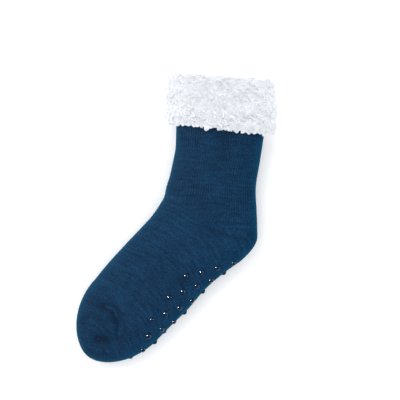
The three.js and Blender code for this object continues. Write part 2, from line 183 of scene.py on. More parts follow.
def spline(rows, place):
    """A smooth curve through the rows, which lie one unit of place apart."""
    last = len(rows) - 1
    place = np.clip(place, 0, last)
    start = np.minimum(np.floor(place).astype(int), last)
    t = (place - start)[..., None]
    p0 = rows[np.maximum(start - 1, 0)]
    p1 = rows[start]
    p2 = rows[np.minimum(start + 1, last)]
    p3 = rows[np.minimum(start + 2, last)]
    rise, fall = (p2 - p0) / 2, (p3 - p1) / 2
    cubic = 2 * p1 - 2 * p2 + rise + fall
    square = 3 * p2 - 3 * p1 - 2 * rise - fall
    return cubic * t**3 + square * t**2 + rise * t + p1


TIP_POINT = foot_point(FOOT_LENGTH, TOE_TIP_ACROSS * FOOT_DEPTH)
TIP_FOOT = foot_point(FOOT_SECTIONS[0][0] * FOOT_LENGTH, TOE_TIP_ACROSS * FOOT_DEPTH)


def folds_at(place):
    """The two folds, the thickness, and the share of it that is left where the toe closes."""
    values = spline(FOLDS, np.maximum(place, 0))
    sole, instep, thick = values[..., 0:2], values[..., 2:4], values[..., 4]
    angle = np.clip(place - TIP, 0, 1) * (math.pi / 2)
    narrow = (np.sin(angle) ** (2 / TOE_OUTLINE_FULLNESS))[..., None]
    reach = (np.abs(np.cos(angle)) ** (2 / TOE_OUTLINE_FULLNESS))[..., None]
    middle = lerp(TIP_FOOT, TIP_POINT, reach)
    toe = (place < 0)[..., None]
    sole = np.where(toe, middle + (sole - TIP_FOOT) * narrow, sole)
    instep = np.where(toe, middle + (instep - TIP_FOOT) * narrow, instep)
    shrink = np.where(place < 0, np.sin(angle) ** (2 / TOE_DOME_FULLNESS), 1)
    return sole, instep, thick, shrink


CUFF_LIFT = (HEEL + 3, HEEL + 5.5)  # places between which the leg rises off the floor
TOE_LIFT = (TIP, TIP + 0.7)  # places between which the lift of the sole's underside sets in
HEEL_LIFT = (HEEL - 1, HEEL + 0.5)  # places between which it ends
SOLE_LIFT = (-0.35, 0.05)  # how far across it ends, from -1 at the sole fold to 1 at the instep fold
UNDERSIDE_LIFT = (-0.95, 0)  # how high up it ends, where -1 is the underside


def cuff_lift(place):
    """How far the leg is lifted off the floor by the pile of the cuff that it lies on."""
    return (PILE_PRESSED + SEAT_GAP) * smoothstep(place, *CUFF_LIFT)


def grip_lift(place, across, height):
    """How far the sole's underside is kept off the floor, which leaves room for dots below it."""
    from_toe = smoothstep(place, *TOE_LIFT)
    to_heel = 1 - smoothstep(place, *HEEL_LIFT)
    sole_part = 1 - smoothstep(across, *SOLE_LIFT)
    underside = 1 - smoothstep(height, *UNDERSIDE_LIFT)
    return (DOT_HEIGHT + SEAT_GAP) * from_toe * to_heel * sole_part * underside


def body_point(place, angle):
    """A point of the plain outer surface. The angle starts at the sole fold and runs over the top."""
    place, angle = np.broadcast_arrays(np.asarray(place, float), np.asarray(angle, float))
    sole, instep, thick, shrink = folds_at(place)
    cos, sin = np.cos(angle), np.sin(angle)
    radius = (np.abs(cos) ** SECTION_FULLNESS + np.abs(sin) ** SECTION_FULLNESS) ** (-1 / SECTION_FULLNESS)
    across, height = -cos * radius, sin * radius
    middle = thick * WIDEST_HEIGHT
    point = lerp(sole, instep, ((1 + across) / 2)[..., None])
    above = middle + (thick - middle) * height * shrink
    below = np.maximum(0, middle + (middle + FLOOR_FLAT) * height * shrink)
    below = below + grip_lift(place, across, height)
    z = np.where(height < 0, below, above) + cuff_lift(place)
    return np.concatenate([point, z[..., None]], axis=-1)


STEP = 1e-3  # of place or angle, between two points that give a direction on the surface


def body_runs(place, angle):
    """How the surface point changes with the place and with the angle."""
    along = (body_point(place + STEP, angle) - body_point(place - STEP, angle)) / (2 * STEP)
    around = (body_point(place, angle + STEP) - body_point(place, angle - STEP)) / (2 * STEP)
    return along, around


def body_normal(place, angle):
    """The direction straight out of the plain surface."""
    along, around = body_runs(place, angle)
    return normalized(np.cross(along, around))


def offset_point(place, angle, out):
    """A point that lies `out` metres outside the plain surface, or inside it where `out` is negative."""
    out = np.broadcast_to(out, np.shape(place + angle))
    return body_point(place, angle) + body_normal(place, angle) * out[..., None]


def even_angles(places, columns):
    """For each place, angles that stand evenly around the section: half of them over the top from the sole
    fold to the instep fold, and half underneath."""
    fine = HALF_SECTION_SAMPLES
    angles = np.linspace(0, 2 * math.pi, 2 * fine + 1)
    points = body_point(places[:, None], angles[None, :])
    steps = np.linalg.norm(np.diff(points, axis=1), axis=-1)
    half = columns // 2
    rows = []
    for row in steps:
        parts = []
        for side in (0, 1):
            lengths = np.concatenate([[0], np.cumsum(row[side * fine:(side + 1) * fine])])
            wanted = np.linspace(0, lengths[-1], half, endpoint=False)
            parts.append(np.interp(wanted, lengths, angles[side * fine:(side + 1) * fine + 1]))
        rows.append(np.concatenate(parts))
    return np.array(rows)


def heel_corner():
    """Where the heel corner lies in the part's frame. The rim is the highest point of the knitted body in Y,
    and its toe reaches lowest in X."""
    low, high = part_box("knit_upper")
    places = np.linspace(TIP + 0.01, RIM, BODY_SAMPLES)
    angles = np.linspace(0, 2 * math.pi, SECTION_SAMPLES)
    points = body_point(places[:, None], angles[None, :]).reshape(-1, 3)
    return np.array([low[0] - points[:, 0].min(), high[1] - LEG_LENGTH, 0])


HEEL_AT = heel_corner()


# Making pieces

def make_piece(name, points, faces, material, uv=None):
    """A smooth mesh object from points in the heel's frame and a list of arrays of faces."""
    mesh = bpy.data.meshes.new(name)
    corners = np.concatenate([part.ravel() for part in faces]).astype(np.int32)
    sizes = np.concatenate([np.full(len(part), part.shape[1]) for part in faces])
    starts = np.concatenate([[0], np.cumsum(sizes)[:-1]]).astype(np.int32)
    mesh.vertices.add(len(points))
    mesh.vertices.foreach_set("co", (points + HEEL_AT).astype(np.float32).ravel())
    mesh.loops.add(len(corners))
    mesh.loops.foreach_set("vertex_index", corners)
    mesh.polygons.add(len(starts))
    mesh.polygons.foreach_set("loop_start", starts)
    mesh.polygons.foreach_set("use_smooth", np.ones(len(starts), dtype=bool))
    if uv is not None:
        mesh.uv_layers.new(name="stitches").data.foreach_set("uv", uv.astype(np.float32).ravel())
    mesh.update(calc_edges=True)
    mesh.validate()
    mesh.materials.append(material)
    piece = bpy.data.objects.new(name, mesh)
    bpy.context.scene.collection.objects.link(piece)
    return piece


def grid_faces(rings, columns):
    """The quads between rings of points, each ring closed around."""
    ring, column = np.meshgrid(np.arange(rings - 1), np.arange(columns), indexing="ij")
    after = (column + 1) % columns
    corners = [ring * columns + column, (ring + 1) * columns + column]
    corners += [(ring + 1) * columns + after, ring * columns + after]
    return np.stack(corners, axis=-1).reshape(-1, 4)


def fan_faces(ring, columns, pole, turned=False):
    """The triangles that close a ring to one point."""
    column = np.arange(columns)
    first, second = ring * columns + column, ring * columns + (column + 1) % columns
    if turned:
        first, second = second, first
    return np.stack([np.full(columns, pole), first, second], axis=-1)


# Materials

class Nodes:
    """A short way to write a material's nodes."""

    def __init__(self, name):
        self.material = bpy.data.materials.new(name)
        self.material.use_nodes = True
        self.tree = self.material.node_tree
        self.shader = self.tree.nodes["Principled BSDF"]

    def add(self, kind, inputs=(), **settings):
        """A node of a kind, with its settings and with values or other nodes' outputs on its inputs."""
        node = self.tree.nodes.new(kind)
        for key, value in settings.items():
            setattr(node, key, value)
        for key, value in dict(inputs).items():
            self.link(value, node.inputs[key])
        return node

    def link(self, value, socket):
        if isinstance(value, bpy.types.NodeSocket):
            self.tree.links.new(value, socket)
        else:
            socket.default_value = value

    def math(self, operation, *values):
        return self.add("ShaderNodeMath", dict(enumerate(values)), operation=operation).outputs[0]

    def noise(self, size, detail=2.0, vector=None, roughness=0.5):
        """Noise whose lumps are about `size` metres long."""
        where = vector or self.add("ShaderNodeTexCoord").outputs["Object"]
        inputs = {"Vector": where, "Scale": 1 / size, "Detail": detail, "Roughness": roughness}
        return self.add("ShaderNodeTexNoise", inputs).outputs["Fac"]

    def ramp(self, value, stops):
        """Colours or greys along a value, from a list of (place, colour)."""
        node = self.add("ShaderNodeValToRGB", {0: value})
        elements = node.color_ramp.elements
        while len(elements) < len(stops):
            elements.new(0.5)
        for element, (place, colour) in zip(elements, stops):
            element.position = place
            element.color = colour if len(colour) == 4 else (*colour, 1)
        return node.outputs["Color"]

    def mix(self, share, first, second, blend="MIX"):
        node = self.add("ShaderNodeMix", data_type="RGBA", blend_type=blend)
        self.link(share, node.inputs["Factor"])
        self.link(first, node.inputs[6])
        self.link(second, node.inputs[7])
        return node.outputs[2]

    def bump(self, height, distance, strength=1.0, normal=None):
        inputs = {"Height": height, "Distance": distance, "Strength": strength}
        if normal is not None:
            inputs["Normal"] = normal
        return self.add("ShaderNodeBump", inputs).outputs["Normal"]

    def surface(self, **values):
        for key, value in values.items():
            self.link(value, self.shader.inputs[key.replace("_", " ")])
        return self.material


WALES = 88  # columns of stitches around the sock
COURSE_PITCH = 0.0019  # from one row of stitches to the next
STITCH_SLANT = 1.5  # how many courses the legs of a stitch rise per wale, away from its middle
KNIT_RELIEF = 0.0005
FIBRE_SIZE = 0.0007
SPECKLE_SIZE = 0.0016
FLECK_SIZE = 0.0017
STREAK_STRETCH = (0.12, 0.55, 1)  # per wale and per course, which draws the streaks out along the courses
CLOUD_SIZE = 0.018
STRETCH_SIZE = 0.030  # of the patches in which the painted shade of the grooves shows more or less
FOOT_GROOVE_SHADE = 0.4  # share of the painted shade in the grooves that is left on the foot
KNIT_DARK = (0.0018, 0.019, 0.052)
KNIT_MIDDLE = (0.0040, 0.030, 0.076)
KNIT_LIGHT = (0.0078, 0.050, 0.114)
KNIT_FLECK = (0.015, 0.105, 0.190)
# painted shade: the colour that the knitting is darkened towards in its creases and inside the toe's knob
KNIT_PAINTED_SHADE = (0.0020, 0.012, 0.032)
KNIT_PAINTED_SHEEN = (0.0065, 0.066, 0.135)  # painted sheen of the fine hairs, a lighter colour where the cloth turns away from the view


def knit_material():
    """Plain knitting in a blue melange. The UV counts wales across and courses along, which are below zero on
    the leg."""
    n = Nodes("blue_knit")
    uv = n.add("ShaderNodeUVMap", uv_map="stitches").outputs["UV"]
    parts = n.add("ShaderNodeSeparateXYZ", {0: uv})
    wale, course = parts.outputs["X"], parts.outputs["Y"]
    off_middle = n.math("ABSOLUTE", n.math("SUBTRACT", n.math("FRACT", wale), 0.5))
    rib = n.math("MULTIPLY_ADD", n.math("COSINE", n.math("MULTIPLY", off_middle, 2 * math.pi)), 0.5, 0.5)
    slanted = n.math("ADD", course, n.math("MULTIPLY", off_middle, STITCH_SLANT))
    wave = n.math("COSINE", n.math("MULTIPLY", slanted, 2 * math.pi))
    stitch = n.math("MULTIPLY", rib, n.math("MULTIPLY_ADD", wave, 0.25, 0.75))

    fibres = n.noise(FIBRE_SIZE, detail=4, roughness=0.7)
    speckle = n.noise(SPECKLE_SIZE, detail=3, roughness=0.7)
    streaked = n.add("ShaderNodeVectorMath", {0: uv, 1: STREAK_STRETCH}, operation="MULTIPLY").outputs[0]
    streaks = n.noise(1, detail=3, vector=streaked, roughness=0.6)
    patches = n.noise(CLOUD_SIZE, detail=3)
    tone = n.math("MULTIPLY_ADD", speckle, 0.6, n.math("MULTIPLY", streaks, 0.4))
    melange = n.ramp(tone, [(0.4, KNIT_DARK), (0.5, KNIT_MIDDLE), (0.62, KNIT_LIGHT)])
    flecks = n.ramp(n.noise(FLECK_SIZE, detail=2), [(0.64, (0, 0, 0)), (0.74, (1, 1, 1))])
    melange = n.mix(n.math("MULTIPLY", flecks, 0.4), melange, (*KNIT_FLECK, 1))
    # Painted shade: the colour is darker in the grooves between the wales, where the stitches are low
    painted_groove_shade = n.ramp(rib, [(0.0, (0.5, 0.5, 0.5)), (0.55, (1, 1, 1))])
    stretched = n.ramp(n.noise(STRETCH_SIZE, detail=1), [(0.38, (0.3, 0.3, 0.3)), (0.62, (1, 1, 1))])
    is_leg = n.math("LESS_THAN", course, 0.0)
    strength = n.math("MULTIPLY_ADD", is_leg, 1 - FOOT_GROOVE_SHADE, FOOT_GROOVE_SHADE)
    yarn = n.mix(n.math("MULTIPLY", stretched, strength), melange, painted_groove_shade, "MULTIPLY")
    cloudy = n.ramp(patches, [(0.35, (0.92, 0.93, 0.94)), (0.65, (1.10, 1.09, 1.08))])
    cloth = n.mix(1.0, yarn, cloudy, "MULTIPLY")
    # Painted sheen: the colour turns lighter where the cloth turns away from the view
    grazing = n.add("ShaderNodeLayerWeight", {"Blend": 0.5}).outputs["Facing"]
    rim = n.ramp(grazing, [(0.12, (0, 0, 0)), (0.7, (0.6, 0.6, 0.6))])
    cloth = n.mix(rim, cloth, (*KNIT_PAINTED_SHEEN, 1))
    # Painted shade: the crease attribute darkens the knitting in its creases and inside the toe's knob
    crease = n.add("ShaderNodeAttribute", attribute_name="crease").outputs["Fac"]
    colour = n.mix(crease, cloth, (*KNIT_PAINTED_SHADE, 1))

    height = n.math("MULTIPLY_ADD", fibres, 0.5, stitch)
    normal = n.bump(height, KNIT_RELIEF, 0.8)
    rough = n.math("MULTIPLY_ADD", fibres, 0.15, 0.82)
    return n.surface(
        Base_Color=colour, Roughness=rough, Normal=normal, Specular_IOR_Level=0.02,
        Sheen_Weight=0.22, Sheen_Roughness=0.3, Sheen_Tint=(0.01, 0.48, 0.75, 1),
    )


FLEECE_WHITE = (0.945, 0.965, 1.0)
FLEECE_PIT_SHADE = (0.84, 0.865, 0.93)
FLEECE_RELIEF = 0.0005
STRAND_SIZE = 0.0006
PIT_SIZE = 0.004
FLEECE_GLOW = 0.002  # how far light spreads inside the pile


def fleece_material():
    """White pile, with painted shade that makes it a little greyer and bluer in its pits."""
    n = Nodes("white_fleece")
    strands = n.noise(STRAND_SIZE, detail=3, roughness=0.65)
    curls = n.noise(PIT_SIZE, detail=2)
    # Painted shade: the colour turns greyer and bluer where the noise that sinks the pits is low
    colour = n.ramp(curls, [(0.25, FLEECE_PIT_SHADE), (0.40, FLEECE_WHITE)])
    height = n.math("MULTIPLY_ADD", curls, 1.5, strands)
    normal = n.bump(height, FLEECE_RELIEF, 0.3)
    rough = n.math("MULTIPLY_ADD", strands, 0.1, 0.88)
    return n.surface(
        Base_Color=colour, Roughness=rough, Normal=normal, Specular_IOR_Level=0.03,
        Sheen_Weight=0.15, Sheen_Roughness=0.6,
        Subsurface_Weight=0.5, Subsurface_Radius=(1, 1, 1), Subsurface_Scale=FLEECE_GLOW,
    )


SILICONE_DARK = (0.001, 0.015, 0.038)
SILICONE_LIGHT = (0.002, 0.021, 0.052)
SILICONE_WAVE = 0.0018  # from one faint wave of its surface to the next
SILICONE_RELIEF = 0.00008


def silicone_material():
    """Dark, glossy silicone with a faint unevenness."""
    n = Nodes("dark_silicone")
    wander = n.noise(SILICONE_WAVE, detail=2)
    colour = n.ramp(wander, [(0.3, SILICONE_DARK), (0.7, SILICONE_LIGHT)])
    rough = n.math("MULTIPLY_ADD", wander, 0.04, 0.13)
    normal = n.bump(wander, SILICONE_RELIEF, 0.4)
    return n.surface(Base_Color=colour, Roughness=rough, Normal=normal, Specular_IOR_Level=0.35)


# Knitted body

OUTER_RINGS = 420
INNER_RINGS = 48
COLUMNS = 200
OUTER_START = TIP + 0.02  # the first ring outside, next to the point that closes the toe
INNER_END = TIP + 0.12  # the last ring inside
RELIEF_FACING = (0.05, 0.6)  # how far a surface has to face up for its folds to set in, and to be whole

# The toe is gathered into a soft round knob with a crease around it, which is deepest towards the sole and
# the heel. The knob's place is a share of FOOT_LENGTH and of FOOT_DEPTH.
KNOB_ALONG = 0.835
KNOB_ACROSS = 0.56
KNOB_RADIUS = 0.0215
KNOB_RISE = 0.0022
KNOB_FLAT = 0.2  # share of the knob's radius that is at its full height
KNOB_WAVES = [
    # how far the knob's edge sways, how often around, starting angle
    (0.0012, 3, 0.6),
    (0.0007, 7, 0),
]
CREASE_DEPTH = 0.0034
CREASE_WIDTH = 0.0056
CREASE_LEAST = 0.2  # share of its depth that the crease keeps on its shallow side
KNOB_CREASE_SIDE = math.radians(193)  # from the toe over the instep to where the crease is deepest
CREASE_PAINTED_SHADE = 0.85  # how much painted shade darkens the knitting at the bottom of the deepest crease
KNOB_PAINTED_SHADE = 0.22  # how much painted shade darkens it inside the knob, where it is gathered and dense
KNOB_EDGE = (0.7, 1.2)  # shares of the knob's radius between which that ends
GATHER_RISE = 0.0005  # two fine gathers that wind out from the knob's middle
GATHER_TWIST = 0.0022
GATHER_REACH = 0.008


def toe_relief(points):
    """Height of the toe's knob, crease and gathers above the plain surface."""
    centre = foot_point(KNOB_ALONG * FOOT_LENGTH, KNOB_ACROSS * FOOT_DEPTH)
    reach = points[..., :2] - centre
    along, across = reach @ FOOT_AXIS, reach @ FOOT_ACROSS
    distance = np.hypot(along, across)
    direction = np.arctan2(across, along)
    wobble = sum(sway * np.sin(times * direction + start) for sway, times, start in KNOB_WAVES)
    rim = distance - KNOB_RADIUS - wobble
    side = smoothstep(np.cos(direction - KNOB_CREASE_SIDE), 0, 0.8)
    crease = -CREASE_DEPTH * lerp(CREASE_LEAST, 1, side) * np.exp(-((rim / CREASE_WIDTH) ** 2))
    knob = KNOB_RISE * (1 - smoothstep(distance, KNOB_FLAT * KNOB_RADIUS, KNOB_RADIUS))
    swirl = np.sin(2 * direction + distance / GATHER_TWIST) * np.exp(-((distance / GATHER_REACH) ** 2))
    return crease + knob + GATHER_RISE * swirl


# Soft folds of the slack knitting, each from one point to another as a trough or a ridge. The points of the
# foot's folds are shares of FOOT_LENGTH and FOOT_DEPTH, and those of the leg's are shares of LEG_WIDTH in
# front of the heel corner and of LEG_LENGTH above it.
FOOT_FOLDS = [
    # from along, across, to along, across, rise, width
    (0.01, 0.07, 0.145, 0.59, -0.0013, 0.0026),  # the gore line of the heel
    (0.06, 0.02, 0.24, 0.60, 0.0006, 0.0060),
    (0.30, 0.70, 0.62, 0.86, 0.0010, 0.0150),
    (0.34, 0.42, 0.66, 0.50, -0.0008, 0.0170),
    (0.72, 0.12, 0.80, 0.42, -0.0009, 0.0080),
    (0.92, 0.50, 0.855, 0.41, -0.0034, 0.0050),  # the deep end of the toe's crease
    (0.87, 0.53, 0.80, 0.52, -0.0012, 0.0022),
    (0.955, 0.46, 0.865, 0.25, -0.0008, 0.0022),
    (0.64, 0.20, 0.72, 0.55, 0.0008, 0.0100),
]
LEG_FOLDS = [
    # from across, up, to across, up, rise, width
    (0.25, 0.30, 0.80, 0.12, -0.0009, 0.0110),
    (0.30, 0.42, 0.95, 0.26, 0.0009, 0.0120),
    (0.45, 0.66, 0.55, 0.40, -0.0007, 0.0140),
    (0.80, 0.68, 0.86, 0.34, 0.0007, 0.0110),
    (0.16, 0.68, 0.20, 0.36, 0.0007, 0.0110),
]


FOLD_SWAY = 0.0025  # how far a fold sways off its straight line
FOLD_FADE_IN = (-0.15, 0.25)  # shares of the fold's length between which it sets in
FOLD_FADE_OUT = (0.75, 1.15)


def fold_relief(points, start, end, rise, width):
    """Height of one soft fold that runs nearly straight and fades at both ends."""
    run = end - start
    length = np.linalg.norm(run)
    reach = points[..., :2] - start
    along = (reach @ run) / length**2
    aside = (reach[..., 0] * run[1] - reach[..., 1] * run[0]) / length
    aside = aside + FOLD_SWAY * np.sin(4 * along)
    fade = smoothstep(along, *FOLD_FADE_IN) * (1 - smoothstep(along, *FOLD_FADE_OUT))
    return rise * fade * np.exp(-((aside / width) ** 2))


def painted_body_shade(points, relief):
    """How much painted shade darkens the knitting, from 0 to 1, in its creases and where the toe is gathered.
    """
    centre = foot_point(KNOB_ALONG * FOOT_LENGTH, KNOB_ACROSS * FOOT_DEPTH)
    distance = np.linalg.norm(points[..., :2] - centre, axis=-1)
    top = points[..., 2] > FOOT_THICKNESS / 2
    inner, outer = KNOB_EDGE[0] * KNOB_RADIUS, KNOB_EDGE[1] * KNOB_RADIUS
    gathered = KNOB_PAINTED_SHADE * top * (1 - smoothstep(distance, inner, outer))
    return gathered + CREASE_PAINTED_SHADE * np.clip(-relief / CREASE_DEPTH, 0, 1)


def body_relief(points, normals):
    """Height of all folds of the visible side above the plain surface."""
    total = toe_relief(points)
    for from_along, from_across, to_along, to_across, rise, width in FOOT_FOLDS:
        start = foot_point(from_along * FOOT_LENGTH, from_across * FOOT_DEPTH)
        end = foot_point(to_along * FOOT_LENGTH, to_across * FOOT_DEPTH)
        total += fold_relief(points, start, end, rise, width)
    for from_across, from_up, to_across, to_up, rise, width in LEG_FOLDS:
        start = np.array([-from_across * LEG_WIDTH, from_up * LEG_LENGTH])
        end = np.array([-to_across * LEG_WIDTH, to_up * LEG_LENGTH])
        total += fold_relief(points, start, end, rise, width)
    return total * smoothstep(normals[..., 2], *RELIEF_FACING)


def stitch_counts(points):
    """Each point's course, counted from the toe as in the foot, and from the rim as in the leg. The second
    count is below zero. The two meet at the heel."""
    steps = np.linalg.norm(np.diff(points, axis=0), axis=-1)
    from_toe = np.concatenate([np.zeros((1, steps.shape[1])), np.cumsum(steps, axis=0)])
    from_rim = from_toe - from_toe[-1]
    return from_toe / COURSE_PITCH, from_rim / COURSE_PITCH


def stitch_uv(skin, outer, rings):
    """For each corner of each face, its column of stitches and its course. The inside has the
    courses of the rim."""
    from_toe, from_rim = stitch_counts(skin)
    column = np.arange(COLUMNS + 1) * (WALES / COLUMNS)
    left, right = column[:-1], column[1:]
    rows = []
    for ring in range(rings - 1):
        lower, upper = min(ring, OUTER_RINGS - 1), min(ring + 1, OUTER_RINGS - 1)
        counts = from_toe if outer[lower] < HEEL else from_rim
        low, high = counts[lower], counts[upper]
        low_next, high_next = np.roll(low, -1), np.roll(high, -1)
        corners = [(left, low), (left, high), (right, high_next), (right, low_next)]
        rows.append(np.stack([np.stack(pair, axis=-1) for pair in corners], axis=1))
    fan = np.repeat(np.stack([left, np.zeros(COLUMNS)], axis=-1), 3, axis=0)
    return np.concatenate([np.concatenate(rows).reshape(-1, 2), fan, fan])


def make_knit_body():
    """The knitted wall, from the toe up outside, over the rim and down inside."""
    outer = np.linspace(OUTER_START, RIM, OUTER_RINGS)
    inner = np.linspace(RIM, INNER_END, INNER_RINGS)
    angles = even_angles(outer, COLUMNS)
    plain = body_point(outer[:, None], angles)
    normals = body_normal(outer[:, None], angles)
    relief = body_relief(plain, normals)
    skin = plain + normals * relief[..., None]
    inner_angles = even_angles(inner, COLUMNS)
    inside = offset_point(inner[:, None], inner_angles, -KNIT_WALL)

    tip = skin[0].mean(axis=0)
    tip[:2] = TIP_POINT
    inner_tip = inside[-1].mean(axis=0)
    points = np.concatenate([skin.reshape(-1, 3), inside.reshape(-1, 3), [tip, inner_tip]])
    rings = OUTER_RINGS + INNER_RINGS
    quads = grid_faces(rings, COLUMNS)
    tip_fan = fan_faces(0, COLUMNS, len(points) - 2)
    inner_fan = fan_faces(rings - 1, COLUMNS, len(points) - 1, turned=True)

    uv = stitch_uv(skin, outer, rings)
    piece = make_piece("knit_body", points, [quads, tip_fan, inner_fan], knit_material(), uv)
    # the painted shade of the creases and the knob, kept on the points as the crease attribute
    painted_shade = np.clip(painted_body_shade(skin, relief), 0, 1).ravel()
    unshaded = np.zeros(len(points) - painted_shade.size)
    crease = piece.data.attributes.new("crease", "FLOAT", "POINT")
    crease.data.foreach_set("value", np.append(painted_shade, unshaded).astype(np.float32))
    return piece


# Fleece cuff

OUTSIDE_ROWS = [0, 0.05, 0.13, 0.24, 0.37, 0.51, 0.65, 0.8, 0.95]  # shares of the way up to the rim
FOLD_ROWS = 5
INSIDE_ROWS = [0.15, 0.55, 0.93, 1.0]  # shares of the way down from the rim
HEM_ROUNDING = 0.16  # share of the outside over which the pile swells from the hem
HEM_EDGE = 0.03  # how far into that swelling the hem starts, so that its edge isn't sharp
INSIDE_TUFTS = 0.3  # how much the tufts stand out inside, where they are 1 on the fold
PILE_OUT = SEAT_GAP + PILE_OUTSIDE
PILE_IN = -(KNIT_WALL + SEAT_GAP + PILE_INSIDE)

# The heights along the leg, by which the cuff is placed
LEG_PLACES = np.linspace(HEEL, LAST, BODY_SAMPLES)
LEG_HEIGHTS = spline(FOLDS, LEG_PLACES)[:, [1, 3]].mean(axis=1)
RIM_HEIGHT = np.interp(RIM, LEG_PLACES, LEG_HEIGHTS)


def place_at_height(up):
    """The place that lies a height above the rim, measured midway between the folds."""
    return np.interp(RIM_HEIGHT + up, LEG_HEIGHTS, LEG_PLACES)


def cuff_profile(count):
    """Rows of the pile's free side, from the hem over the fold to the inner edge, evenly spaced: the height
    above the rim, the distance out of the knitted body, and how much the tufts stand out."""
    rows = []
    for share in OUTSIDE_ROWS:
        rounding = min((share + HEM_EDGE) / HEM_ROUNDING, 1)
        swell = math.sqrt(1 - (1 - rounding) ** 2)
        rows.append((-CUFF_TURN_DOWN * (1 - share), SEAT_GAP + PILE_OUTSIDE * swell, swell**2))
    for i in range(1, FOLD_ROWS + 1):
        turn = i / (FOLD_ROWS + 1) * math.pi
        outward = (1 + math.cos(turn)) / 2
        rows.append((CUFF_FOLD_RISE * math.sin(turn), lerp(PILE_IN, PILE_OUT, outward), 1))
    for share in INSIDE_ROWS:
        rows.append((-CUFF_TURN_IN * share, PILE_IN, INSIDE_TUFTS))
    rows = np.array(rows)
    dense = spline(rows, np.linspace(0, len(rows) - 1, PROFILE_SAMPLES))
    lengths = np.concatenate([[0], np.cumsum(np.linalg.norm(np.diff(dense[:, :2], axis=0), axis=1))])
    wanted = np.linspace(0, lengths[-1], count)
    return np.stack([np.interp(wanted, lengths, dense[:, i]) for i in range(3)], axis=-1), lengths[-1]


def tuft_relief(points):
    """Relief of the pile's tufts, from -1 to 1."""
    wave = 2 * math.pi / TUFT_SIZE
    x, y, z = points[..., 0], points[..., 1], points[..., 2]
    sway = np.sin(wave * y / 2.7)
    return np.sin(wave * (x + z) + 2 * sway) * np.sin(wave * (y - z / 2) + sway)


BASE_ROWS = 120
BASE_COLUMNS = 300
BASE_SINK = 0.0014  # how far the pile's ground lies below the tips of the curls
BASE_RELIEF = 0.0007
BASE_LUMP_SIZE = 0.0045
BASE_FLOOR = 0.0004  # the ground stays this far above the floor
PLAIN_HEM = 0.2  # where tufts stand out less than this, as at the hem's edge, the ground has no relief
TUFT_RELIEF = 0.0012
LUMP_RELIEF = 0.0011
LUMP_SIZE = 0.017
HEM_SCALLOP = 0.0022  # how far the tufts of the lower edge hang down
HEM_TUFT_SIZE = 0.009
HEM_TUFT_SHARE = 0.5
HEM_CURL_SIZE = 0.0045
HEM_CURL_SHARE = 0.8

# Seeds of the random relief
BASE_SEED = 3
LUMP_SEED = 5
LINING_SEED = 11
HEM_TUFT_SEED = 21
HEM_CURL_SEED = 22

LUMP_WAVES = 14  # how many waves the random relief is made of
LUMP_SPREAD = (0.7, 1.4)  # the shortest and the longest of them, as shares of its size
LUMP_PEAK = 1.6  # the relief seldom rises above this many times its usual height


def lumps(points, size, seed):
    """Smooth random relief, mostly from -1 to 1, as a sum of waves in random directions."""
    source = np.random.default_rng(seed)
    total = np.zeros(points.shape[:-1])
    for _ in range(LUMP_WAVES):
        towards = normalized(source.normal(size=3))
        direction = towards * 2 * math.pi / (size * source.uniform(*LUMP_SPREAD))
        total += np.sin(points @ direction + source.uniform(0, 2 * math.pi))
    return total / math.sqrt(LUMP_WAVES / 2) / LUMP_PEAK


def pile_point(up, out, tuft, angle):
    """A point of the pile's free side with its tufts."""
    plain = offset_point(place_at_height(up), angle, out)
    hang = HEM_SCALLOP * np.maximum(-up, 0) / CUFF_TURN_DOWN
    hem_tufts = HEM_TUFT_SHARE * lumps(plain, HEM_TUFT_SIZE, HEM_TUFT_SEED)
    hem_curls = HEM_CURL_SHARE * lumps(plain, HEM_CURL_SIZE, HEM_CURL_SEED)
    scallop = hang * (hem_tufts + hem_curls)
    relief = TUFT_RELIEF * tuft_relief(plain) + LUMP_RELIEF * lumps(plain, LUMP_SIZE, LUMP_SEED)
    point = offset_point(place_at_height(up - scallop), angle, out + tuft * relief)
    point[..., 2] = np.maximum(0, point[..., 2])
    return point


def make_cuff_base(material):
    """The ground of the pile, a closed ring that the curls stand on."""
    profile, _ = cuff_profile(BASE_ROWS)
    angles = even_angles(place_at_height(profile[:, 0]), BASE_COLUMNS)
    up, out, tuft = (profile[:, i][:, None] for i in range(3))
    middle = (PILE_OUT + PILE_IN) / 2
    side = np.clip((out - middle) / (PILE_OUT - middle), -1, 1)
    base_out = out - BASE_SINK * side
    base_up = np.where(up > 0, up - BASE_SINK * np.sqrt(np.maximum(0, 1 - side**2)), up)
    free = pile_point(base_up, base_out, tuft, angles)
    normals = body_normal(place_at_height(base_up), angles)
    relief = BASE_RELIEF * lumps(free, BASE_LUMP_SIZE, BASE_SEED) * side * (tuft > PLAIN_HEM)
    free = free + normals * relief[..., None]
    free[..., 2] = np.maximum(BASE_FLOOR, free[..., 2])

    # The back of the pile, which follows the knitting up inside, over the rim and down outside
    inside, outside = -KNIT_WALL - SEAT_GAP, SEAT_GAP
    back = []
    for height, gap, row in [
        (-CUFF_TURN_IN, inside, -1), (0, inside, -1), (0, outside, 0), (-CUFF_TURN_DOWN, outside, 0),
    ]:
        place = place_at_height(np.full(BASE_COLUMNS, height))
        back.append(offset_point(place, angles[row], gap))
    rings = np.concatenate([free, np.array(back)])
    count = len(rings)
    quads = grid_faces(count, BASE_COLUMNS)
    closing = grid_faces(2, BASE_COLUMNS)
    closing = np.where(closing < BASE_COLUMNS, closing + (count - 1) * BASE_COLUMNS, closing - BASE_COLUMNS)
    return make_piece("cuff_pile_ground", rings.reshape(-1, 3), [quads, closing], material)


